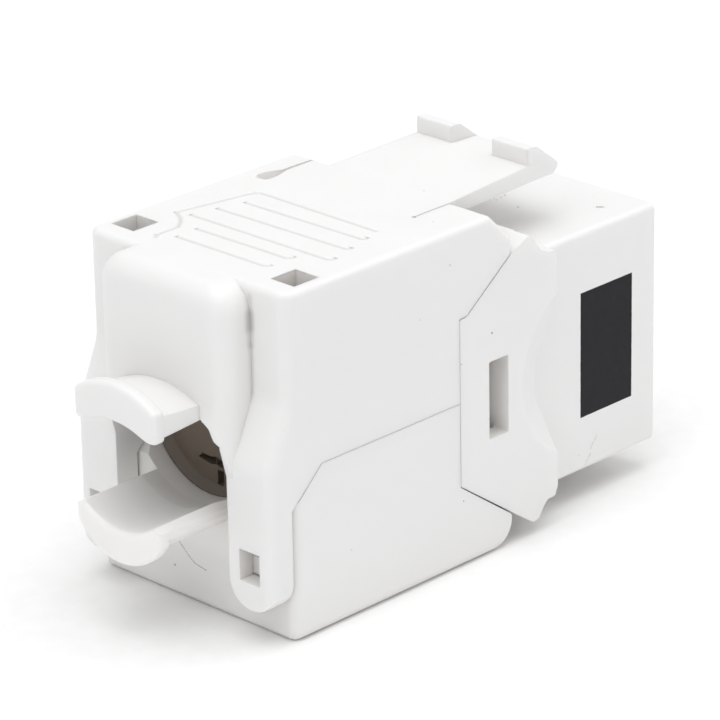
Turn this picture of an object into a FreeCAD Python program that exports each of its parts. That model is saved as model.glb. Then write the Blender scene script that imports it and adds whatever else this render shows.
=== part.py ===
import FreeCAD, Part
import os
import math

# Keystone jack with a press-down termination cap.
# Millimetres.  +Z up, the port faces -Y, the cable enters from +Y, +X/-X are
# the two flanks.  The working coordinates below measure Y rearwards from the
# port face and Z up from the underside; every solid is moved by ORIGIN_Y at
# the end so that the origin is the middle of the footprint.

V = FreeCAD.Vector
os.makedirs("parts", exist_ok=True)

# ------------------------------------------------------------ main dimensions
LENGTH = 40.2            # port face to the end of the cable jaws
ORIGIN_Y = -LENGTH / 2.0
HALF_W = 8.5             # body flank
FACE_HALF_W = 7.25       # front block, standard 14.5 mm wide keystone face
FACE_Z0 = 2.05           # front block underside
FACE_Z1 = 18.30          # front block top
TOP_Z = 22.40            # top of the cap
SEAM_Z = 11.04           # underside of the cap's flanks
SEAM_GAP = 0.02
WALL = 1.2
TOP_PLATE = 1.5

PILLAR_Y = 34.12         # rear face of the corner pillars
EAR_Y = 35.75            # rear face of the snap ears
EAR_FRONT_Y = 34.05
EAR_X = 4.79             # inner edge of each ear
EAR_Z0 = 2.30
PANEL_Y = 36.38          # rear face of the proud panel
PANEL_X = 5.5
BASE_Y = 33.90           # rear face of the base
BASE_FRONT_Y = 14.50

PLATE_Y1 = 19.50         # rear edge of the housing's flank plates
PLATE_Y0 = 10.65         # front edge of the plates
SLOT_Y = (15.20, 16.92)
SLOT_Z = (7.81, 12.96)

CONTACT_PITCH = 1.02
IDC_PITCH = 2.60
IDC_Y0 = 21.60
IDC_X = 4.50
PCB_Z0, PCB_Z1 = 3.00, 4.20


# ------------------------------------------------------------------ helpers
def box(x0, x1, y0, y1, z0, z1):
    return Part.makeBox(x1 - x0, y1 - y0, z1 - z0, V(x0, y0, z0))


def cyl(axis, r, a0, a1, u, v):
    # axis "x": u,v = y,z ; axis "y": u,v = x,z ; axis "z": u,v = x,y
    if axis == "x":
        return Part.makeCylinder(r, a1 - a0, V(a0, u, v), V(1, 0, 0))
    if axis == "y":
        return Part.makeCylinder(r, a1 - a0, V(u, a0, v), V(0, 1, 0))
    return Part.makeCylinder(r, a1 - a0, V(u, v, a0), V(0, 0, 1))


def rounded_wire(pts, radii, place):
    # closed polygon with an arc of the given radius at each corner
    n = len(pts)
    segs = []
    cuts = []
    for i in range(n):
        p0, p1, p2 = pts[i - 1], pts[i], pts[(i + 1) % n]
        r = radii[i]
        if r <= 0:
            cuts.append((p1, None, p1))
            continue
        a = (p0[0] - p1[0], p0[1] - p1[1])
        b = (p2[0] - p1[0], p2[1] - p1[1])
        la, lb = math.hypot(*a), math.hypot(*b)
        a = (a[0] / la, a[1] / la)
        b = (b[0] / lb, b[1] / lb)
        cosang = max(-1.0, min(1.0, a[0] * b[0] + a[1] * b[1]))
        half = math.acos(cosang) / 2.0
        t = r / math.tan(half)
        t = min(t, la * (0.98 if radii[i - 1] <= 0 else 0.49), lb * (0.98 if radii[(i + 1) % n] <= 0 else 0.49))
        rr = t * math.tan(half)
        s = (p1[0] + a[0] * t, p1[1] + a[1] * t)
        e = (p1[0] + b[0] * t, p1[1] + b[1] * t)
        bis = (a[0] + b[0], a[1] + b[1])
        lbis = math.hypot(*bis)
        bis = (bis[0] / lbis, bis[1] / lbis)
        d = rr / math.sin(half)
        c = (p1[0] + bis[0] * d, p1[1] + bis[1] * d)
        m = (c[0] - bis[0] * rr, c[1] - bis[1] * rr)
        cuts.append((s, m, e))
    for i in range(n):
        s, m, e = cuts[i]
        if m is not None:
            segs.append(Part.Arc(place(s), place(m), place(e)).toShape())
        nxt = cuts[(i + 1) % n][0]
        if math.hypot(nxt[0] - e[0], nxt[1] - e[1]) > 1e-6:
            segs.append(Part.makeLine(place(e), place(nxt)))
    return Part.Wire(segs)


def prism(axis, pts, a0, a1, radii=None):
    # extruded polygon; pts are the two remaining coordinates in X,Y,Z order
    if radii is None:
        radii = [0.0] * len(pts)
    if not isinstance(radii, (list, tuple)):
        radii = [radii] * len(pts)
    if axis == "x":
        w = rounded_wire(pts, radii, lambda p: V(a0, p[0], p[1]))
        return Part.Face(w).extrude(V(a1 - a0, 0, 0))
    if axis == "y":
        w = rounded_wire(pts, radii, lambda p: V(p[0], a0, p[1]))
        return Part.Face(w).extrude(V(0, a1 - a0, 0))
    w = rounded_wire(pts, radii, lambda p: V(p[0], p[1], a0))
    return Part.Face(w).extrude(V(0, 0, a1 - a0))


def rect(u0, u1, v0, v1):
    return [(u0, v0), (u1, v0), (u1, v1), (u0, v1)]


def fuse(shapes):
    s = shapes[0].multiFuse(shapes[1:]) if len(shapes) > 1 else shapes[0]
    return s.removeSplitter()


def cut(s, tools):
    return s.cut(tools if isinstance(tools, list) else [tools]).removeSplitter()


def soften(s, r, want):
    # round the edges that want() picks; keeps the sharp solid if it can't
    edges = [e for e in s.Edges if want(e)]
    if not edges:
        return s
    try:
        t = s.makeFillet(r, edges)
        if t.isValid() and abs(t.Volume - s.Volume) < 0.2 * s.Volume:
            return t
    except Exception:
        pass
    print("soften: edge by edge", r, len(edges))
    for e in edges:
        try:
            mid = e.valueAt((e.FirstParameter + e.LastParameter) / 2.0)
            now = [k for k in s.Edges if (k.valueAt((k.FirstParameter + k.LastParameter) / 2.0) - mid).Length < 1e-4]
            t = s.makeFillet(r, now)
            if t.isValid():
                s = t
        except Exception:
            pass
    return s


def mid(e):
    return e.valueAt((e.FirstParameter + e.LastParameter) / 2.0)


def mirror(s):
    return s.mirror(V(0, 0, 0), V(1, 0, 0))


def both(s):
    return [s, mirror(s)]


def save(name, s):
    s = s.copy()
    s.translate(V(0, ORIGIN_Y, 0))
    solids = s.Solids
    bb = s.BoundBox
    print("%-22s solids %d valid %s vol %.1f  X %.2f %.2f  Y %.2f %.2f  Z %.2f %.2f" % (
        name, len(solids), s.isValid(), s.Volume, bb.XMin, bb.XMax, bb.YMin, bb.YMax, bb.ZMin, bb.ZMax))
    if len(solids) == 1:
        s = solids[0]
    s.exportStep("parts/%s.step" % name)


# ============================================================ termination cap
def make_cap():
    # flank profile without the ears
    body = prism("x", [(PILLAR_Y, TOP_Z), (16.65, TOP_Z), (14.72, 20.45),
                       (14.72, 19.70), (18.92, 16.60), (PLATE_Y1 + 0.02, 16.56),
                       (PLATE_Y1 + 0.02, SEAM_Z), (31.50, SEAM_Z), (PILLAR_Y, 8.62)],
                 -HALF_W, HALF_W, [0, 0, 0, 0, 0, 0, 0, 0, 0])
    # the pillars' outer corners, the shoulder's nose, then the rim of the top
    body = soften(body, 0.9, lambda e: abs(mid(e).y - PILLAR_Y) < 1e-3 and abs(abs(mid(e).x) - HALF_W) < 1e-3)
    body = soften(body, 0.6, lambda e: abs(mid(e).y - 16.65) < 1e-3 and mid(e).z > TOP_Z - 1e-3)
    body = soften(body, 0.5, lambda e: abs(mid(e).y - 14.72) < 1e-3 and abs(mid(e).z - 20.45) < 1e-3)
    body = soften(body, 0.42, lambda e: mid(e).z > TOP_Z - 1e-3 and (mid(e).y > PILLAR_Y - 1.0 or abs(abs(mid(e).x) - HALF_W) < 1e-3))
    # corner pillar flaring rearwards into the snap ear
    ear = prism("x", [(31.60, SEAM_Z - 0.09), (EAR_FRONT_Y, 8.75), (EAR_FRONT_Y, EAR_Z0),
                      (EAR_Y, EAR_Z0), (EAR_Y, 11.60), (PILLAR_Y, 15.40),
                      (PILLAR_Y, 17.50), (31.60, 17.50)],
                EAR_X, HALF_W, [0, 0, 0, 0, 2.0, 2.0, 0, 0])
    ear = soften(ear, 0.9, lambda e: abs(mid(e).x - HALF_W) < 1e-3 and mid(e).y > EAR_FRONT_Y + 0.01)
    ear_front = prism("y", rect(EAR_X, HALF_W, EAR_Z0, 20.0), 30.0, 37.0, [1.75, 1.8, 0, 0])
    ear = ear.common(ear_front)
    cap = fuse([body] + both(ear))
    # proud rear panel with soft corners
    panel = prism("y", rect(-PANEL_X, PANEL_X, 9.6, TOP_Z - 0.02), 30.0, PANEL_Y, [0, 0, 1.9, 1.9])
    panel = soften(panel, 1.3, lambda e: abs(mid(e).y - PANEL_Y) < 1e-3 and mid(e).z > 10.0)
    # below the opening's shoulders the panel fades into the ears
    panel = cut(panel, prism("x", [(38.0, 12.9), (PANEL_Y + 0.001, 12.9), (EAR_Y - 0.15, 9.9), (33.0, 9.5), (33.0, 9.0), (38.0, 9.0)], -7.0, 7.0))
    # and it stays above the base's sloping rear corner
    panel = cut(panel, prism("x", [(29.0, SEAM_Z), (31.50, SEAM_Z), (PILLAR_Y, 8.62), (PILLAR_Y, 5.0), (29.0, 5.0)], -7.0, 7.0))
    # cable opening, upper half, and the clearance between the ears
    arch = cyl("y", 7.0, 32.0, 37.5, 0, 7.78)
    brow = prism("y", [(-EAR_X, 11.0), (EAR_X, 11.0), (EAR_X, 12.52), (4.42, 12.80), (4.10, 13.42), (3.84, 13.72), (3.50, 13.80), (3.40, 16.0),
                       (-3.40, 16.0), (-3.50, 13.80), (-3.84, 13.72), (-4.10, 13.42), (-4.42, 12.80), (-EAR_X, 12.52)], 31.0, 38.0)
    clear = fuse([arch.common(brow), box(-EAR_X, EAR_X, 31.0, 38.0, 5.0, 11.62)])
    cap = cut(cap, clear)
    panel = cut(panel, clear)
    cap = fuse([cap, panel])
    # inner room
    cap = cut(cap, box(-HALF_W + WALL, HALF_W - WALL, 10.0, 32.6, -1.0, TOP_Z - TOP_PLATE))
    cap = cut(cap, box(-4.3, 4.3, 32.0, 34.7, 11.8, TOP_Z - TOP_PLATE))
    # upper cable jaw: a shallow vault that rises a little towards its end lip
    def vault(y, w, zc, r, z0):
        ze = zc + math.sqrt(r * r - w * w)
        return Part.Wire([Part.makeLine(V(-w, y, z0), V(w, y, z0)), Part.makeLine(V(w, y, z0), V(w, y, ze)),
                          Part.Arc(V(w, y, ze), V(0, y, zc + r), V(-w, y, ze)).toShape(),
                          Part.makeLine(V(-w, y, ze), V(-w, y, z0))])
    shelf = Part.makeLoft([vault(PANEL_Y - 1.2, 3.25, 8.12, 7.30, 12.6), vault(39.9, 3.50, 7.78, 8.18, 12.6)], True, True)
    shelf = cut(shelf, cyl("y", 6.6, 33.0, 41.0, 0, 8.16))
    # raised end lip, a crescent with rounded tips
    a = 3.5
    zs = 10.22 + math.sqrt(6.20 ** 2 - a * a)
    w0 = Part.Wire([Part.Arc(V(a, 39.42, zs), V(0, 39.42, 16.42), V(-a, 39.42, zs)).toShape(),
                    Part.makeLine(V(-a, 39.42, zs), V(-a, 39.42, 13.36)),
                    Part.makeLine(V(-a, 39.42, 13.36), V(-2.95, 39.42, 13.36)),
                    Part.Arc(V(-2.95, 39.42, 13.36), V(0, 39.42, 14.12), V(2.95, 39.42, 13.36)).toShape(),
                    Part.makeLine(V(2.95, 39.42, 13.36), V(a, 39.42, 13.36)),
                    Part.makeLine(V(a, 39.42, 13.36), V(a, 39.42, zs))])
    upper_lip = Part.Face(w0).extrude(V(0, LENGTH - 39.42, 0))
    upper_lip = soften(upper_lip, 0.42, lambda e: abs(abs(mid(e).x) - a) < 1e-3 and abs(mid(e).y - 39.81) < 1e-3 and mid(e).z < 14.0)
    upper_lip = soften(upper_lip, 0.30, lambda e: abs(abs(mid(e).x) - a) < 1e-3 and abs(mid(e).y - 39.81) < 1e-3 and mid(e).z > 14.0)
    upper_lip = soften(upper_lip, 0.34, lambda e: mid(e).y > LENGTH - 1e-3 and (mid(e).z > 14.6 or abs(mid(e).x) > 3.0))
    cap = fuse([cap, shelf, upper_lip])
    # open the front between the shoulders and free the latch tongue
    cap = cut(cap, box(-6.7, 6.7, 10.0, 16.55, 15.0, 23.0))
    cap = cut(cap, [box(-5.13, -5.05, 16.0, 19.75, 18.0, 23.0), cyl("z", 0.13, 18.0, 23.0, -5.09, 19.80),
                    prism("z", [(6.15, 21.20), (7.00, 21.25), (7.25, 20.90), (7.20, 20.20), (6.75, 19.20), (6.65, 16.00),
                                (6.55, 16.00), (6.53, 19.00), (6.20, 20.20)], 21.95, 23.0, [0.3, 0.3, 0.3, 0.3, 0, 0, 0, 0, 0.3])])
    tongue = prism("x", [(18.5, TOP_Z), (16.8, TOP_Z), (9.2, 22.66), (6.85, 22.56),
                         (6.34, 22.06), (6.85, 21.56), (13.2, 21.54), (15.1, 21.52),
                         (16.6, 21.30), (17.6, 20.90), (18.5, 20.90)], -5.05, 5.10,
                   [0, 3, 0, 0.4, 0.3, 0.4, 0, 2, 1, 0.3, 0])
    waist = prism("z", [(-5.05, 19.0), (-5.05, 16.5), (-4.72, 8.5), (-4.72, 6.0), (4.72, 6.0),
                        (4.72, 8.5), (5.10, 16.5), (5.10, 19.0)], 18.0, 25.0, [0, 8, 8, 0.3, 0.3, 8, 8, 0])
    tongue = tongue.common(waist)
    hook = prism("x", [(9.20, 22.30), (9.20, 23.76), (8.42, 23.72), (6.70, 22.42), (6.60, 22.30)],
                 1.72, 4.72, [0, 0.10, 0.25, 0, 0])
    cap = fuse([cap, tongue] + both(hook))
    # square pockets in the top
    cap = cut(cap, both(box(5.83, 7.78, 30.65, 32.70, 19.2, 23.0)))
    # ear windows with a lead-in groove below each for the snap lug
    cap = cut(cap, both(box(5.70, 7.37, 33.5, 37.0, 4.05, 6.10)) +
              both(box(5.60, 7.47, 33.5, 34.66, 1.5, 6.10)))
    # rails inside the flanks that carry the wire organiser
    rails = both(box(HALF_W - WALL - 0.25, HALF_W - WALL + 0.05, 23.0, 30.0, 17.9, 18.5))
    cap = fuse([cap] + rails)
    # engraved guide lines in the top
    lines = [
        [(6.30, 28.75), (5.27, 23.70), (5.10, 23.27), (4.78, 23.04), (4.20, 22.99), (-5.15, 23.03)],
        [(4.35, 24.80), (-5.25, 24.53), (-5.42, 24.40), (-5.38, 24.14)],
        [(4.89, 26.62), (-5.70, 26.33), (-5.88, 26.18), (-5.84, 25.95)],
        [(5.30, 28.46), (-6.15, 28.28), (-6.35, 28.10), (-6.31, 27.80)],
        [(3.34, 29.87), (-4.10, 29.71), (-4.32, 29.55), (-4.37, 29.25)],
        [(3.27, 31.57), (-3.95, 31.48), (-4.22, 31.35), (-4.33, 31.12)],
        [(6.30, 28.75), (5.85, 28.98), (5.40, 29.25), (4.85, 29.78), (4.42, 30.40), (4.40, 31.20), (4.38, 32.15), (4.10, 32.60)],
    ]
    half = 0.23              # half width of each V groove at the surface
    deep = 0.07
    over = 0.10
    tools = []
    for l in lines:
        for (xa, ya), (xb, yb) in zip(l[:-1], l[1:]):
            L = math.hypot(xb - xa, yb - ya)
            dx, dy = (xb - xa) / L, (yb - ya) / L
            h = half * (deep + over) / deep
            ax, ay = xa - dx * 0.03, ya - dy * 0.03
            tri = Part.makePolygon([V(ax - dy * h, ay + dx * h, TOP_Z + over), V(ax + dy * h, ay - dx * h, TOP_Z + over),
                                    V(ax, ay, TOP_Z - deep), V(ax - dy * h, ay + dx * h, TOP_Z + over)])
            tools.append(Part.Face(tri).extrude(V(dx * (L + 0.06), dy * (L + 0.06), 0)))
    grooves = tools[0].multiFuse(tools[1:])
    cap = cap.cut(grooves)
    return cap


# ================================================================ base shell
def make_base():
    body = prism("x", [(BASE_FRONT_Y, 0), (BASE_Y, 0), (BASE_Y, 8.72), (31.46, SEAM_Z - SEAM_GAP),
                       (PLATE_Y1 + 0.03, SEAM_Z - SEAM_GAP), (PLATE_Y1 + 0.03, 5.46), (BASE_FRONT_Y, 1.84)],
                 -HALF_W, HALF_W, [1.8, 0.45, 0, 0, 0, 0, 0])
    body = soften(body, 0.7, lambda e: abs(abs(mid(e).x) - HALF_W) < 1e-3 and abs(mid(e).y - BASE_Y) < 1e-3)
    body = soften(body, 0.35, lambda e: abs(abs(mid(e).x) - HALF_W) < 1e-3 and mid(e).z < 1e-3)
    # inner room, open at the top and towards the front
    body = cut(body, [box(-HALF_W + 1.3, HALF_W - 1.3, 16.6, 32.55, 1.4, 12.0),
                      box(-HALF_W + 1.2, HALF_W - 1.2, 10.0, 20.6, 1.95, 12.0)])
    # lower cable jaw
    def trough(r, w, zc, z1, y0, y1, corner):
        zw = zc - math.sqrt(r * r - w * w)
        wire = Part.Wire([Part.Arc(V(-w, y0, zw), V(0, y0, zc - r), V(w, y0, zw)).toShape(),
                          Part.makeLine(V(w, y0, zw), V(w, y0, z1)), Part.makeLine(V(w, y0, z1), V(-w, y0, z1)),
                          Part.makeLine(V(-w, y0, z1), V(-w, y0, zw))])
        t = Part.Face(wire).extrude(V(0, y1 - y0, 0))
        return soften(t, corner, lambda e: abs(abs(mid(e).x) - w) < 1e-3 and abs(mid(e).z - zw) < 1e-3)
    shelf = trough(4.5, 3.58, 9.98, 9.0, 33.2, 39.75, 0.5)
    lip = trough(4.2, 3.60, 9.02, 9.0, 39.42, LENGTH, 0.6)
    lip = soften(lip, 0.25, lambda e: mid(e).y > LENGTH - 0.01 and mid(e).z < 8.9)
    body = fuse([body, shelf, lip])
    # the rim falls slightly towards the lip
    body = cut(body, prism("x", [(BASE_Y, 8.16), (41.0, 8.02), (41.0, 10.0), (BASE_Y, 10.0)], -4.0, 4.0))
    # and its top slopes outwards
    body = cut(body, both(prism("y", [(3.02, 8.14), (3.80, 7.58), (4.30, 7.58), (4.30, 10.0), (3.02, 10.0)], BASE_Y, 41.0)))
    # cable way through the rear wall and the jaw
    body = cut(body, fuse([cyl("y", 5.07, 31.0, BASE_Y, 0, 11.91), cyl("y", 4.90, BASE_Y, LENGTH + 1, 0, 11.91),
                           Part.makeCone(5.07, 4.90, 1.4, V(0, BASE_Y, 11.91), V(0, 1, 0))]))
    body = soften(body, 0.30, lambda e: abs(mid(e).y - LENGTH) < 1e-3 and abs(mid(e).x) < 0.3 and 6.5 < mid(e).z < 7.6)
    # snap lugs for the ears
    lug = prism("x", [(BASE_Y - 0.2, 4.12), (34.63, 4.12), (34.63, 5.26), (BASE_Y - 0.2, 6.03)], 5.62, 7.45)
    body = fuse([body] + both(lug))
    # board rests
    body = fuse([body] + both(box(5.2, 7.3, 24.0, 25.2, 1.2, PCB_Z0 - 0.03)) +
                [box(-4.0, 4.0, 29.6, 32.4, 1.2, PCB_Z0 - 0.03)])
    # snap arms that clip the port housing
    arm = fuse([box(6.10, 6.75, 15.45, 16.80, 1.2, 12.60),
                prism("y", [(6.5, 8.0), (7.62, 8.0), (7.62, 11.9), (7.2, 12.6), (6.5, 12.6)], 16.15, 16.80)])
    body = fuse([body] + both(arm))
    return body


# ============================================================== port housing
def make_housing():
    block = prism("y", rect(-FACE_HALF_W, FACE_HALF_W, FACE_Z0, FACE_Z1), 0.0, 13.0, 0.4)
    block = soften(block, 0.2, lambda e: mid(e).y < 1e-3)
    rear = prism("x", [(12.0, FACE_Z0), (19.4, FACE_Z0), (19.4, 16.45), (14.8, 19.44), (13.18, 20.20),
                       (12.09, 18.78), (12.0, FACE_Z1)], -FACE_HALF_W, FACE_HALF_W)
    # flank plates
    plate = prism("x", [(PLATE_Y1, 16.50), (18.9, 16.52), (14.8, 19.50), (13.18, 20.22), (12.25, 18.96),
                        (11.55, 18.60), (PLATE_Y0, 18.52),
                        (PLATE_Y0, 2.72), (10.90, 2.05), (11.58, 2.05), (11.92, 1.75), (12.45, 1.00),
                        (12.98, 0.92), (PLATE_Y1, 5.50)],
                  6.6, HALF_W, [0.15, 0.6, 1.5, 0.25, 0.8, 0.5, 0.25, 0.3, 0.2, 0.2, 0.2, 0.25, 0.25, 0.15])
    # shallow finger scallop at the front of each plate
    inner = Part.Wire(Part.makeCircle(4.30, V(FACE_HALF_W, 7.15, 9.60), V(1, 0, 0)))
    rim = Part.Wire(Part.makeCircle(6.25, V(HALF_W + 0.12, 7.86, 10.41), V(1, 0, 0)))
    scal = Part.makeLoft([inner, rim], True, True)
    plate = cut(plate, scal)
    plate = soften(plate, 0.22, lambda e: abs(mid(e).x - HALF_W) < 1e-3 and abs(math.hypot(mid(e).y - 7.81, mid(e).z - 10.34) - 6.08) < 0.2)
    plate = cut(plate, box(6.0, FACE_HALF_W - 0.35, 10.0, 13.0, 1.0, 20.0))
    # fixed keystone lip across the underside
    lip = prism("x", [(11.58, 2.40), (11.58, 2.05), (11.92, 1.75), (12.45, 1.00), (12.98, 0.92), (14.50, 2.00), (14.50, 2.40)],
                -6.7, 6.7, [0, 0, 0.2, 0.25, 0.25, 0, 0])
    h = fuse([block, rear] + both(plate) + [lip])
    # slot windows
    h = cut(h, both(prism("x", rect(SLOT_Y[0], SLOT_Y[1], SLOT_Z[0], SLOT_Z[1]), 5.0, 9.0, 0.12)))
    # clearance for the snap arms
    h = cut(h, both(box(5.95, FACE_HALF_W, 15.20, 17.05, 0.0, 13.0)))
    # port: plug body, latch tab recess, latch tab slot
    port = fuse([box(-5.90, 5.90, -1.0, 10.4, 4.75, 11.50), box(-3.05, 3.05, -1.0, 10.4, 11.0, 13.05),
                 box(-1.65, 1.65, -1.0, 9.6, 12.5, 14.40)])
    h = cut(h, port)
    # tapered mouth
    mouth = Part.makeLoft([Part.Wire(Part.makePolygon([V(-6.2, -0.01, 4.45), V(6.2, -0.01, 4.45), V(6.2, -0.01, 11.8), V(-6.2, -0.01, 11.8), V(-6.2, -0.01, 4.45)])),
                           Part.Wire(Part.makePolygon([V(-5.9, 0.5, 4.75), V(5.9, 0.5, 4.75), V(5.9, 0.5, 11.5), V(-5.9, 0.5, 11.5), V(-5.9, 0.5, 4.75)]))], True, True)
    h = cut(h, mouth)
    # sled channel under the port and the room behind it
    h = cut(h, [box(-4.60, 4.60, 2.0, 13.2, 3.20, 5.0), box(-6.25, 6.25, 10.4, 20.5, 2.90, 14.6),
                box(-4.3, 4.3, 13.6, 17.0, 2.45, 3.0)])
    # stop wall that keeps the carrier from moving forward, beside the port
    return h


# =========================================================== contact carrier
def contact_x(i):
    return (i - 3.5) * CONTACT_PITCH


def make_carrier():
    sled = box(-4.50, 4.50, 2.15, 12.6, 3.26, 4.30)
    block = prism("x", [(10.55, 4.30), (17.2, 4.30), (17.2, 8.5), (14.0, 13.8), (10.55, 13.8)], -5.9, 5.9)
    c = fuse([sled, block])
    ribs = []
    for i in range(9):
        x = (i - 4) * CONTACT_PITCH
        ribs.append(box(x - 0.16, x + 0.16, 2.15, 10.6, 4.2, 4.72))
    c = fuse([c] + ribs)
    tools = []
    for i in range(8):
        x = contact_x(i)
        tools.append(box(x - 0.28, x + 0.28, 2.0, 17.0, 4.30, 4.80))      # lead channel
        tools.append(box(x - 0.28, x + 0.28, 10.0, 12.6, 4.5, 11.6))     # comb slot
    c = cut(c, tools)
    return c


def make_contact(i):
    x = contact_x(i)
    t = 0.30
    pin_y = 14.2 if i % 2 == 0 else 16.2
    z0 = 4.36
    ang = math.radians(27.5)
    by, bz = 3.15, z0 + t / 2                  # bend at the mouth of the port
    ey, ez = 11.6, bz + (11.6 - by) * math.tan(ang)
    n = (-math.sin(ang) * t / 2, math.cos(ang) * t / 2)
    pts = [(pin_y + 0.2, 2.60), (pin_y + 0.2, z0 + t), (by + 0.85, z0 + t),
           (ey - n[0], ez - n[1]), (ey + n[0], ez + n[1]),
           (by - 0.30, z0 + t + 0.10), (by - 0.45, z0 + 0.02), (by - 0.30, z0),
           (pin_y - 0.2, z0), (pin_y - 0.2, 2.60)]
    rad = [0, 0.15, 0.08, 0.05, 0.05, 0.25, 0.15, 0.1, 0.05, 0]
    return prism("x", pts, x - 0.19, x + 0.19, rad)


# ============================================================= circuit board
def idc_places():
    out = []
    for side in (-1, 1):
        for k in range(4):
            out.append((side * IDC_X, IDC_Y0 + k * IDC_PITCH))
    return out


def make_board():
    b = prism("z", [(-5.8, 13.3), (5.8, 13.3), (5.8, 19.0), (6.6, 19.8), (6.6, 31.4), (-6.6, 31.4), (-6.6, 19.8), (-5.8, 19.0)],
              PCB_Z0, PCB_Z1, [0.4, 0.4, 0, 0, 0.6, 0.6, 0, 0])
    holes = []
    for i in range(8):
        pin_y = 14.2 if i % 2 == 0 else 16.2
        holes.append(cyl("z", 0.36, 2.0, 5.0, contact_x(i), pin_y))
    for x, y in idc_places():
        holes.append(cyl("z", 0.42, 2.0, 5.0, x, y))
    return cut(b, holes)


# ================================================================= IDC block
def make_idc_block():
    slab = prism("z", rect(-6.60, 6.60, 20.15, 30.85), PCB_Z1 + 0.05, 7.6, 0.3)
    parts = [slab]
    for x, y in idc_places():
        s = 1 if x > 0 else -1
        xa, xb = sorted((s * 2.60, s * 6.40))
        parts.append(prism("y", [(xa, 7.3), (xb, 7.3), (xb, 15.3), (xb - 0.5, 15.8), (xa + 0.5, 15.8), (xa, 15.3)],
                           y - 1.08, y + 1.08))
    # centre spine
    parts.append(prism("z", rect(-0.6, 0.6, 20.4, 30.6), 7.3, 11.5, 0.3))
    b = fuse(parts)
    tools = []
    for x, y in idc_places():
        tools.append(box(x - 0.26, x + 0.26, y - 0.84, y + 0.84, 4.0, 17.0))      # blade pocket
        tools.append(box(x - 2.5, x + 2.5, y - 0.38, y + 0.38, 10.2, 17.0))       # wire slot
    return cut(b, tools)


def make_idc(x, y):
    pts = [(y - 0.25, 2.35), (y + 0.25, 2.35), (y + 0.25, 4.45), (y + 0.78, 5.0), (y + 0.78, 15.2),
           (y + 0.50, 15.2), (y + 0.10, 14.2), (y + 0.10, 10.0), (y - 0.10, 10.0), (y - 0.10, 14.2),
           (y - 0.50, 15.2), (y - 0.78, 15.2), (y - 0.78, 5.0), (y - 0.25, 4.45)]
    return prism("x", pts, x - 0.20, x + 0.20)


# ============================================================ wire organiser
def make_organiser():
    o = prism("z", rect(-7.2, 7.2, 20.3, 31.6), 18.6, TOP_Z - TOP_PLATE - 0.06, [0.3, 0.3, 1.0, 1.0])
    parts = [o]
    # side skirts
    parts += both(box(6.62, 7.0, 20.6, 30.4, 12.0, 18.8))
    # centre spine between the two rows, with a wedge that parts the pairs at the rear
    parts.append(prism("z", [(-1.9, 20.6), (1.9, 20.6), (1.9, 30.2), (0.5, 31.3), (-0.5, 31.3), (-1.9, 30.2)],
                       12.2, 18.8, [0.2, 0.2, 0.5, 0.3, 0.3, 0.5]))
    # blades that push each conductor down into its slot
    for x, y in idc_places():
        s = 1 if x > 0 else -1
        for u0, u1 in ((2.75, 4.10), (4.90, 6.25)):
            xa, xb = sorted((s * u0, s * u1))
            parts.append(box(xa, xb, y - 0.28, y + 0.28, 12.4, 18.8))
    # rear gate: a plate whose short funnel leads the cable bore inwards on to
    # a web with L-shaped conductor slots
    gate = prism("y", rect(-5.9, 5.9, PCB_Z1 + 0.2, 18.8), 30.95, 32.5, [0.8, 0.8, 0, 0])
    gate = cut(gate, Part.makeCone(4.50, 5.07, 0.5, V(0, 32.0, 11.91), V(0, 1, 0)))
    lslots = []
    for m in (1, -1):
        for pts in ([(1.52, 8.70), (1.22, 9.04), (0.40, 9.00), (0.02, 9.12), (0.02, 8.62), (0.42, 8.50)],
                    [(3.9, 11.6), (3.4, 11.6), (3.4, 13.8), (3.9, 13.5)], [(2.2, 11.6), (1.6, 11.6), (1.6, 15.0), (2.2, 14.8)]):
            q = [(x * m, z) for x, z in pts]
            if m < 0:
                q.reverse()
            lslots.append(prism("y", q, 30.0, 32.2))
    lslots.append(prism("y", rect(-0.62, -0.10, 7.36, 8.30), 30.0, 32.2))
    gate = cut(gate, lslots)
    parts.append(gate)
    o = fuse(parts)
    # conductor notches down the spine's flanks
    tools = []
    for x, y in idc_places():
        s = 1 if x > 0 else -1
        xa, xb = sorted((s * 1.25, s * 2.2))
        tools.append(box(xa, xb, y - 0.5, y + 0.5, 12.0, 18.0))
    # notches in the slab that the cap's rails sit in
    tools += both(box(6.75, 7.5, 22.5, 30.3, 17.5, 18.7))
    return cut(o, tools)


save("termination_cap", make_cap())
save("base_shell", make_base())
save("port_housing", make_housing())
save("contact_carrier", make_carrier())
for i in range(8):
    save("port_contact_%d" % (i + 1), make_contact(i))
save("circuit_board", make_board())
save("idc_block", make_idc_block())
for k, (x, y) in enumerate(idc_places()):
    save("idc_contact_%d" % (k + 1), make_idc(x, y))
save("wire_organiser", make_organiser())
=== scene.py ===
import bpy, bmesh, math
from mathutils import Vector, Matrix


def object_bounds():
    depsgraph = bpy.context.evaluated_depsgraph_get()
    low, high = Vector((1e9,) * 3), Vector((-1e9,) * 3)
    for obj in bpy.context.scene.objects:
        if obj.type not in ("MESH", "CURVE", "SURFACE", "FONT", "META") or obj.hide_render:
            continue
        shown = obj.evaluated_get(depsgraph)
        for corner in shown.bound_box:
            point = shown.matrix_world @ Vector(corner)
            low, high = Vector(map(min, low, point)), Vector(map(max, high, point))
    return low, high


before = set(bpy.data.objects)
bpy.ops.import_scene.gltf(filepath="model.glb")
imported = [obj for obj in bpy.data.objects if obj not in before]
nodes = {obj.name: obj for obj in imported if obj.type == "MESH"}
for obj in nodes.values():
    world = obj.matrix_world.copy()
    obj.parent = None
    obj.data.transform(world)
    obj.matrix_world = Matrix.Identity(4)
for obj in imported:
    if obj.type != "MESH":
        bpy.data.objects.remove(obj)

cad_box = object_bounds()
scene = bpy.context.scene
mm = 0.001


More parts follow.
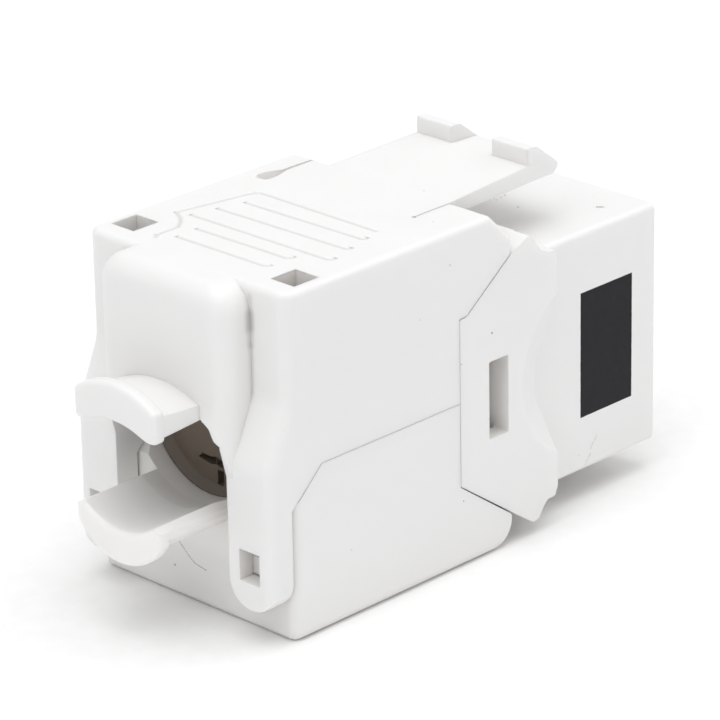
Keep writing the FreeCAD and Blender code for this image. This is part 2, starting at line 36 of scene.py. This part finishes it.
# --------------------------------------------------------------- node helpers
class Graph:
    def __init__(self, name):
        self.mat = bpy.data.materials.new(name)
        self.mat.use_nodes = True
        self.nt = self.mat.node_tree
        self.nt.nodes.clear()
        self.out = self.nt.nodes.new("ShaderNodeOutputMaterial")
        self.bsdf = self.nt.nodes.new("ShaderNodeBsdfPrincipled")
        self.nt.links.new(self.bsdf.outputs[0], self.out.inputs[0])
        self.tc = self.nt.nodes.new("ShaderNodeTexCoord")
        self.pos = self.tc.outputs["Object"]

    def put(self, sock, value):
        if isinstance(value, bpy.types.NodeSocket):
            self.nt.links.new(value, sock)
        else:
            sock.default_value = value

    def math(self, op, a, b=None, c=None, clamp=False):
        n = self.nt.nodes.new("ShaderNodeMath")
        n.operation = op
        n.use_clamp = clamp
        for i, v in enumerate((a, b, c)):
            if v is not None:
                self.put(n.inputs[i], v)
        return n.outputs[0]

    def vmath(self, op, a, b=None, out=0):
        n = self.nt.nodes.new("ShaderNodeVectorMath")
        n.operation = op
        self.put(n.inputs[0], a)
        if b is not None:
            self.put(n.inputs[1], b)
        return n.outputs[out]

    def xyz(self):
        if not hasattr(self, "_xyz"):
            n = self.nt.nodes.new("ShaderNodeSeparateXYZ")
            self.put(n.inputs[0], self.pos)
            self._xyz = n.outputs
        return self._xyz

    def noise(self, scale, detail=2.0, rough=0.5, stretch=None, seed=0.0, distortion=0.0, vec=None):
        src = vec if vec is not None else self.pos
        if stretch is not None or seed:
            m = self.nt.nodes.new("ShaderNodeMapping")
            self.put(m.inputs["Vector"], src)
            m.inputs["Location"].default_value = (seed * 0.37, seed * 0.91, seed * 0.53)
            m.inputs["Scale"].default_value = stretch or (1, 1, 1)
            src = m.outputs[0]
        n = self.nt.nodes.new("ShaderNodeTexNoise")
        n.inputs["Scale"].default_value = scale
        n.inputs["Detail"].default_value = detail
        n.inputs["Roughness"].default_value = rough
        n.inputs["Distortion"].default_value = distortion
        self.put(n.inputs["Vector"], src)
        return n.outputs["Fac"]

    def ramp(self, v, a, b, lo=0.0, hi=1.0, smooth=True):
        n = self.nt.nodes.new("ShaderNodeMapRange")
        n.interpolation_type = "SMOOTHSTEP" if smooth else "LINEAR"
        n.clamp = True
        self.put(n.inputs["Value"], v)
        for k, x in (("From Min", a), ("From Max", b), ("To Min", lo), ("To Max", hi)):
            self.put(n.inputs[k], x)
        return n.outputs[0]

    def mix(self, fac, a, b):
        n = self.nt.nodes.new("ShaderNodeMix")
        n.data_type = "RGBA"
        self.put(n.inputs[0], fac)
        self.put(n.inputs[6], a)
        self.put(n.inputs[7], b)
        return n.outputs[2]

    def mulcol(self, a, b):
        n = self.nt.nodes.new("ShaderNodeMix")
        n.data_type = "RGBA"
        n.blend_type = "MULTIPLY"
        n.inputs[0].default_value = 1.0
        self.put(n.inputs[6], a)
        self.put(n.inputs[7], b)
        return n.outputs[2]

    def grey(self, v):
        n = self.nt.nodes.new("ShaderNodeCombineColor")
        for i in range(3):
            self.put(n.inputs[i], v)
        return n.outputs[0]

    def bump(self, height, strength, dist, normal=None):
        n = self.nt.nodes.new("ShaderNodeBump")
        n.inputs["Strength"].default_value = strength
        n.inputs["Distance"].default_value = dist
        self.put(n.inputs["Height"], height)
        if normal is not None:
            self.put(n.inputs["Normal"], normal)
        return n.outputs[0]

    def round_edges(self, radius, samples=6):
        n = self.nt.nodes.new("ShaderNodeBevel")
        n.samples = samples
        n.inputs["Radius"].default_value = radius
        return n.outputs[0]

    def occlusion(self, dist, samples=8, inside=False):
        n = self.nt.nodes.new("ShaderNodeAmbientOcclusion")
        n.samples = samples
        n.inside = inside
        n.inputs["Distance"].default_value = dist
        return n.outputs["AO"]

    def dot_mask(self, p, r, soft=0.5):
        d = self.vmath("DISTANCE", self.pos, tuple(v * mm for v in p), out=1)
        return self.ramp(d, r * mm * (1 - soft), r * mm, 1.0, 0.0)

    def segment_mask(self, a, b, w, soft=0.6, wob=None):
        a = Vector(a) * mm
        b = Vector(b) * mm
        ba = b - a
        src = wob if wob is not None else self.pos
        pa = self.vmath("SUBTRACT", src, tuple(a))
        h = self.math("DIVIDE", self.vmath("DOT_PRODUCT", pa, tuple(ba), out=1), ba.length_squared, clamp=True)
        n = self.nt.nodes.new("ShaderNodeVectorMath")
        n.operation = "SCALE"
        n.inputs[0].default_value = tuple(ba)
        self.put(n.inputs["Scale"], h)
        d = self.vmath("LENGTH", self.vmath("SUBTRACT", pa, n.outputs[0]), out=1)
        return self.ramp(d, w * mm * (1 - soft), w * mm, 1.0, 0.0)

    def add(self, vals):
        t = vals[0]
        for v in vals[1:]:
            t = self.math("MAXIMUM", t, v)
        return t


def srgb(r, g, b):
    def f(c):
        c /= 255.0
        return c / 12.92 if c <= 0.04045 else ((c + 0.055) / 1.055) ** 2.4
    return (f(r), f(g), f(b), 1.0)


def moulded(name, base, rough=0.42, spec=0.5, seed=1.0, sss=0.25, painted_seam_shade=0.10, painted_seam_shade_col=(0.62, 0.56, 0.50, 1),
            painted_warm_shade=0.6, bevel=0.10, bump=1.0, marks=(), rubs=(), painted_shades=(), mark_col=(0.16, 0.14, 0.12, 1), label=None):
    g = Graph(name)
    big = g.noise(70, 3, 0.55, seed=seed)
    col = g.mix(g.ramp(big, 0.35, 0.65), tuple(c * 0.99 for c in base[:3]) + (1,), base)
    # painted warm shade: a faint warm darkening where the moulding is sheltered, set by a wide occlusion
    wide = g.occlusion(5.0 * mm, 3)
    col = g.mix(g.ramp(wide, 0.25, 0.80, painted_warm_shade, 0.0), col, (base[0] * 0.97, base[1] * 0.935, base[2] * 0.90, 1))
    # painted shade: seams and corners darkened by a short-range occlusion, mottled by a fine noise
    ao = g.occlusion(0.6 * mm, 3)
    shade_mottle = g.noise(1800, 3, 0.65, seed=seed + 3)
    shade = g.math("MULTIPLY", g.ramp(ao, 0.30, 0.80, painted_seam_shade, 0.0), g.ramp(shade_mottle, 0.25, 0.6, 0.4, 1.0))
    col = g.mix(shade, col, tuple(a * b for a, b in zip(base[:3], painted_seam_shade_col[:3])) + (1,))
    rough_v = g.ramp(g.noise(420, 3, 0.6, seed=seed + 5), 0.3, 0.7, rough - 0.05, rough + 0.06)
    fine = g.noise(11000, 3, 0.65, seed=seed + 1)
    peel = g.noise(850, 2, 0.5, seed=seed + 2)
    if marks:
        m = []
        for k in marks:
            if len(k) == 4:
                m.append(g.dot_mask(k[:3], k[3]))
            else:
                m.append(g.segment_mask(k[:3], k[3:6], k[6]))
        mm_ = g.add(m)
        brk = g.ramp(g.noise(9000, 2, 0.7, seed=seed + 9), 0.35, 0.6, 0.35, 1.0)
        mfac = g.math("MULTIPLY", mm_, brk)
        col = g.mix(mfac, col, mark_col)
    if rubs:
        m = [g.dot_mask(k[:3], k[3], 0.9) if len(k) == 4 else g.segment_mask(k[:3], k[3:6], k[6], 0.9) for k in rubs]
        brk = g.ramp(g.noise(6000, 3, 0.7, seed=seed + 11), 0.35, 0.65, 0.05, 0.55)
        col = g.mix(g.math("MULTIPLY", g.add(m), brk), col, (0.42, 0.41, 0.40, 1))
    # painted shade: strokes along the given segments, darkened towards a deep grey
    for k in painted_shades:
        d = g.math("MULTIPLY", g.segment_mask(k[:3], k[3:6], k[6], 0.98), k[7])
        col = g.mix(d, col, (base[0] * 0.42, base[1] * 0.41, base[2] * 0.40, 1))
    if label is not None:
        col, rough_v = label(g, col, rough_v, spec)
    n = g.round_edges(bevel * mm, 4)
    n = g.bump(peel, 0.35 * bump, 0.012 * mm, n)
    n = g.bump(fine, 0.30 * bump, 0.004 * mm, n)
    g.put(g.bsdf.inputs["Base Color"], col)
    g.put(g.bsdf.inputs["Roughness"], rough_v)
    g.put(g.bsdf.inputs["Normal"], n)
    g.bsdf.inputs["IOR"].default_value = 1.53
    if label is None:
        g.bsdf.inputs["Specular IOR Level"].default_value = spec
    g.bsdf.inputs["Subsurface Weight"].default_value = sss
    g.bsdf.inputs["Subsurface Radius"].default_value = (1.0, 0.97, 0.94)
    g.bsdf.inputs["Subsurface Scale"].default_value = 0.9 * mm
    return g.mat


def plated(name, base, rough, seed, tarnish, tarnish_col):
    g = Graph(name)
    v = g.noise(900, 4, 0.6, seed=seed)
    col = g.mix(g.ramp(v, 0.45, 0.75, 0, tarnish), base, tarnish_col)
    g.put(g.bsdf.inputs["Base Color"], col)
    g.bsdf.inputs["Metallic"].default_value = 1.0
    brushed = g.noise(3000, 3, 0.6, stretch=(6.0, 0.6, 0.6), seed=seed + 1)
    g.put(g.bsdf.inputs["Roughness"], g.ramp(brushed, 0.3, 0.7, rough - 0.05, rough + 0.09))
    n = g.round_edges(0.04 * mm, 4)
    g.put(g.bsdf.inputs["Normal"], g.bump(brushed, 0.25, 0.003 * mm, n))
    return g.mat


WHITE = (0.832, 0.832, 0.83, 1)


def print_field(g, col, rough_v, spec):
    # plain black pad print on one flank of the front block
    x, y, z = g.xyz()[0], g.xyz()[1], g.xyz()[2]
    wob = g.math("MULTIPLY", g.math("SUBTRACT", g.noise(2600, 4, 0.65, seed=31), 0.5), 0.05 * mm)
    def edge(v, lo, hi):
        d = g.math("MINIMUM", g.math("SUBTRACT", v, lo * mm), g.math("SUBTRACT", hi * mm, v))
        return g.math("ADD", d, wob)
    d = g.math("MINIMUM", edge(y, 2.26 - 20.1, 7.15 - 20.1), edge(z, 5.77, 14.25))
    inside = g.ramp(d, -0.02 * mm, 0.03 * mm)
    flank = g.math("LESS_THAN", x, -7.2 * mm)
    fac = g.math("MULTIPLY", inside, flank)
    pin = g.ramp(g.noise(14000, 2, 0.5, seed=33), 0.72, 0.80, 1.0, 0.88)
    fac = g.math("MULTIPLY", fac, pin)
    ink = g.mix(g.noise(1500, 3, 0.6, seed=35), (0.007, 0.006, 0.008, 1), (0.013, 0.012, 0.015, 1))
    g.put(g.bsdf.inputs["Specular IOR Level"], g.ramp(fac, 0.0, 1.0, spec, 0.18))
    return g.mix(fac, col, ink), g.ramp(fac, 0.0, 1.0, rough_v, 0.55)


mats = {}
# specks and rubs, millimetres in the object's frame: dots (x, y, z, r) and
# strokes (x, y, z, x, y, z, half width)
cap_marks = [(-2.46, -3.95, 22.40, 0.09), (-6.50, -0.50, 22.40, 0.07), (-8.5, 0.2, 20.32, 0.10),
             (-8.5, 2.86, 17.58, 0.06)]
base_marks = [(1.50, 13.8, 3.70, 0.70, 13.8, 3.00, 0.050), (0.70, 13.8, 3.00, 0.16, 13.8, 2.64, 0.055),
              (0.16, 13.8, 2.64, -0.80, 13.8, 2.47, 0.050), (1.95, 13.8, 1.98, 0.10),
              (-0.74, 13.8, 5.25, 0.07), (-1.10, 13.8, 5.55, -1.95, 13.8, 5.98, 0.05),
              (-8.5, -0.80, 4.50, 0.07), (-8.5, 9.03, 4.58, 0.06)]
port_marks = [(-4.97, -17.06, 18.30, 0.13), (-5.12, -17.18, 18.30, 0.15),
              (-5.27, -17.31, 18.30, 0.14),
              (0.82, -14.81, 18.30, 0.10), (-1.26, -13.76, 18.30, 0.09), (0.90, -13.55, 18.30, 0.06),
              (0.85, -13.85, 18.30, 0.07), (0.62, -13.80, 18.30, 0.07), (0.71, -14.30, 18.30, 0.08),
              (0.79, -14.55, 18.30, 0.06), (-8.5, -3.45, 14.82, 0.10), (-8.5, -0.72, 13.60, 0.06)]
# fainter smears
port_rubs = [(-3.64, -18.28, 18.30, 0.14), (-3.31, -18.47, 18.30, 0.10), (-7.25, -14.50, 4.12, -7.25, -14.25, 3.75, 0.13), (-7.25, -14.15, 3.70, -7.25, -13.95, 3.40, 0.12),
             (-7.25, -13.90, 3.00, -7.25, -13.42, 2.42, 0.12), (-7.25, -12.83, 3.25, 0.10)]
# painted shade in the corner between the panel and the pillar: x, y, z twice,
# half width, strength
cap_painted_shades = [(-5.50, 14.05, 21.6, -5.50, 14.10, 18.6, 0.42, 0.26), (-5.50, 14.12, 20.5, -5.50, 14.12, 19.7, 0.55, 0.42),
              (-5.50, 14.05, 18.6, -5.50, 14.02, 14.4, 0.32, 0.20), (5.50, 14.05, 21.0, 5.50, 14.02, 15.0, 0.30, 0.20)]


def groove_painted_shade(g, col, rough_v, spec):
    # painted shade: the engraved guide lines are set darker towards their bottom, in place of the shade inside them
    x, y, z = g.xyz()[0], g.xyz()[1], g.xyz()[2]
    low = g.ramp(z, 22.335 * mm, 22.398 * mm, 1.0, 0.0)
    top = g.math("GREATER_THAN", z, 22.28 * mm)
    a = g.math("LESS_THAN", g.math("ABSOLUTE", x), 6.75 * mm)
    b = g.math("MULTIPLY", g.math("GREATER_THAN", y, 2.60 * mm), g.math("LESS_THAN", y, 12.75 * mm))
    f = g.math("MULTIPLY", g.math("MULTIPLY", low, top), g.math("MULTIPLY", a, b))
    g.bsdf.inputs["Specular IOR Level"].default_value = spec
    return g.mix(g.math("MULTIPLY", f, 0.55), col, (0.58, 0.575, 0.57, 1)), rough_v


mats["termination_cap"] = moulded("white_cap", WHITE, seed=1.0, marks=cap_marks, painted_shades=cap_painted_shades, mark_col=(0.50, 0.48, 0.46, 1), label=groove_painted_shade)
def trough_tone(g, col, rough_v, spec):
    # the inside of the lower jaw is set a little lighter, in place of the light
    # that its thin wall lets through
    x, y, z = g.xyz()[0], g.xyz()[1], g.xyz()[2]
    a = g.math("MULTIPLY", g.ramp(y, 11.9 * mm, 12.6 * mm), g.math("LESS_THAN", g.math("ABSOLUTE", x), 5.3 * mm))
    b = g.ramp(z, 3.2 * mm, 4.4 * mm)
    g.bsdf.inputs["Specular IOR Level"].default_value = spec
    return g.mix(g.math("MULTIPLY", a, b), col, g.mulcol(col, (1.06, 1.05, 1.04, 1))), rough_v


mats["base_shell"] = moulded("white_base", WHITE, seed=4.0, marks=base_marks, mark_col=(0.30, 0.28, 0.26, 1), label=trough_tone)
mats["port_housing"] = moulded("white_port", WHITE, seed=7.0, marks=port_marks, rubs=port_rubs, mark_col=(0.24, 0.22, 0.20, 1), label=print_field)
mats["contact_carrier"] = moulded("carrier", (0.62, 0.62, 0.60, 1), rough=0.5, seed=9.0, bevel=0.05)
mats["idc_block"] = moulded("terminal", (0.74, 0.73, 0.70, 1), rough=0.45, seed=11.0, bevel=0.06)
def gate_tone(g, col, rough_v, spec):
    # painted light: the funnel's rim is set lighter than the web; the web is also darker towards its foot
    x, y, z = g.xyz()[0], g.xyz()[1], g.xyz()[2]
    rim_painted_light = g.ramp(y, 11.93 * mm, 12.02 * mm)
    foot = g.ramp(z, 6.0 * mm, 10.5 * mm, 0.90, 1.0)
    col = g.mulcol(col, g.grey(foot))
    col = g.mix(rim_painted_light, col, g.mulcol((0.20, 0.165, 0.137, 1), g.grey(foot)))
    g.bsdf.inputs["Specular IOR Level"].default_value = spec
    return col, rough_v


mats["wire_organiser"] = moulded("organiser", (0.18, 0.145, 0.112, 1), rough=0.5, spec=0.3, seed=13.0, sss=0.0, painted_warm_shade=0.0, bevel=0.06, label=gate_tone)
gold = plated("gold_plate", (0.95, 0.70, 0.30, 1), 0.22, 21.0, 0.25, (0.75, 0.50, 0.22, 1))
tin = plated("tin_plate", (0.72, 0.71, 0.69, 1), 0.34, 23.0, 0.35, (0.55, 0.53, 0.50, 1))

board = Graph("board_laminate")
w = board.noise(5200, 2, 0.5, stretch=(1, 1, 0.2), seed=41)
board.put(board.bsdf.inputs["Base Color"], board.mix(board.ramp(w, 0.4, 0.6), (0.015, 0.13, 0.05, 1), (0.022, 0.17, 0.07, 1)))
board.bsdf.inputs["Roughness"].default_value = 0.28
board.bsdf.inputs["Coat Weight"].default_value = 0.4
board.put(board.bsdf.inputs["Normal"], board.bump(w, 0.3, 0.004 * mm, board.round_edges(0.05 * mm, 4)))
mats["circuit_board"] = board.mat

for n, o in nodes.items():
    if n.startswith("port_contact"):
        m = gold
    elif n.startswith("idc_contact"):
        m = tin
    else:
        m = mats[n]
    for s in o.material_slots:
        s.material = m

# ---------------------------------------------------------------------- floor
fm = Graph("floor_paper")
fn = fm.noise(600, 4, 0.6, seed=51)
fm.put(fm.bsdf.inputs["Base Color"], fm.mix(fm.ramp(fn, 0.4, 0.6), (0.925, 0.925, 0.925, 1), (0.94, 0.94, 0.94, 1)))
fm.bsdf.inputs["Roughness"].default_value = 0.9
fm.bsdf.inputs["Specular IOR Level"].default_value = 0.1
me = bpy.data.meshes.new("floor")
S = 3.0
me.from_pydata([(-S, -S, 0), (S, -S, 0), (S, S, 0), (-S, S, 0)], [], [(0, 1, 2, 3)])
me.materials.append(fm.mat)
floor = bpy.data.objects.new("floor", me)
scene.collection.objects.link(floor)

# --------------------------------------------------------------------- lights
world = bpy.data.worlds.new("studio")
scene.world = world
world.use_nodes = True
bg = world.node_tree.nodes["Background"]
bg.inputs[0].default_value = (1.0, 1.0, 1.0, 1)
bg.inputs[1].default_value = 0.61


def area(name, loc, target, size, power, col=(1, 1, 1)):
    li = bpy.data.lights.new(name, "AREA")
    li.shape = "SQUARE"
    li.size = size
    li.energy = power
    li.color = col
    ob = bpy.data.objects.new(name, li)
    scene.collection.objects.link(ob)
    ob.location = loc
    d = Vector(target) - Vector(loc)
    ob.rotation_euler = d.to_track_quat("-Z", "Y").to_euler()
    return ob


area("softbox_top", (-0.05, 0.06, 0.55), (0, 0, 0.01), 0.50, 1.64)
area("softbox_front", (-0.14, -0.46, 0.36), (0, 0, 0.01), 0.40, 0.55)
area("softbox_rear", (-0.04, 0.42, 0.46), (0, 0, 0.01), 0.35, 0.38)

# --------------------------------------------------------------------- camera
R = [[-0.7162739455748315, -0.6976016740541856, -0.017422377778633702],
     [-0.2556184283653131, 0.2855283174884038, -0.9236518819297066],
     [0.6493156812912428, -0.6571342969812481, -0.3828363380875046]]
lo, hi = cad_box
mid_y = (lo[1] + hi[1]) / 2
cam = bpy.data.cameras.new("camera")
cam.sensor_width = 36.0
cam.sensor_fit = "HORIZONTAL"
cam.lens = 4512.487112 * 36.0 / 720.0
cam.clip_start = 0.01
cam.clip_end = 20.0
co = bpy.data.objects.new("camera", cam)
scene.collection.objects.link(co)
m = Matrix.Identity(4)
for i in range(3):
    m[i][0] = R[0][i]
    m[i][1] = -R[1][i]
    m[i][2] = -R[2][i]
m[0][3], m[1][3], m[2][3] = -0.18141167, mid_y + 0.18300684, 0.11853357
co.matrix_world = m
scene.camera = co

scene.view_settings.view_transform = "Standard"
scene.view_settings.look = "None"
scene.view_settings.exposure = 0.0
scene.view_settings.gamma = 1.0
